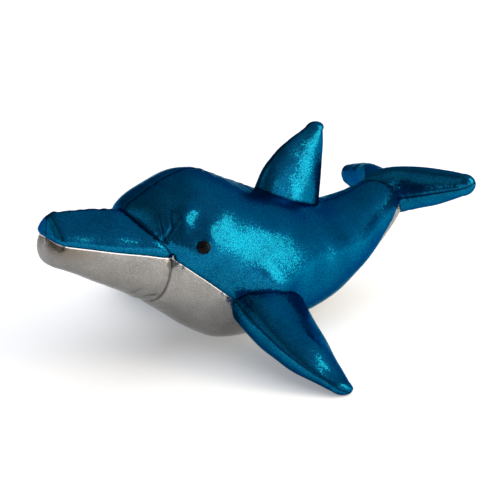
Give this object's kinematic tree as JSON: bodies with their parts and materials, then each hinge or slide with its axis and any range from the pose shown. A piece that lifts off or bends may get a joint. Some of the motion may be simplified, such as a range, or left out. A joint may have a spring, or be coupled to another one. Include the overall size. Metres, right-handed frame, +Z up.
{
  "type": "plush dolphin",
  "caption": "Stuffed toy dolphin in metallic foil cloth, blue above and silver below, resting on its belly with beak and tail raised",
  "frame": {"origin": "on the ground, on the flat spot of the belly that the toy rests on, between the pectoral fins", "axes": "+Z up, nose towards -X and tail towards +X, the animal's left side towards -Y"},
  "size_m": [0.4488, 0.3732, 0.1993],
  "materials": {
    "blue_foil": "metallic foil cloth",
    "silver_foil": "metallic foil cloth",
    "stuffing": "loose polyester fill",
    "eye_plastic": "glossy",
    "washer_plastic": "plain"
  },
  "bodies": {
    "root": {"beak_top_left": "blue_foil", "beak_top_right": "blue_foil", "beak_under": "silver_foil", "belly_panel": "silver_foil", "body_stuffing": "stuffing", "dorsal_fin_left": "blue_foil", "dorsal_fin_right": "blue_foil", "dorsal_fin_stuffing": "stuffing", "eye_left": "eye_plastic", "eye_right": "eye_plastic", "eye_washer_left": "washer_plastic", "eye_washer_right": "washer_plastic", "fluke_lower": "blue_foil", "fluke_stuffing": "stuffing", "fluke_upper": "blue_foil", "pectoral_left_lower": "blue_foil", "pectoral_left_stuffing": "stuffing", "pectoral_left_upper": "blue_foil", "pectoral_right_lower": "blue_foil", "pectoral_right_stuffing": "stuffing", "pectoral_right_upper": "blue_foil", "side_panel_left": "blue_foil", "side_panel_right": "blue_foil"}
  },
  "joints": []
}
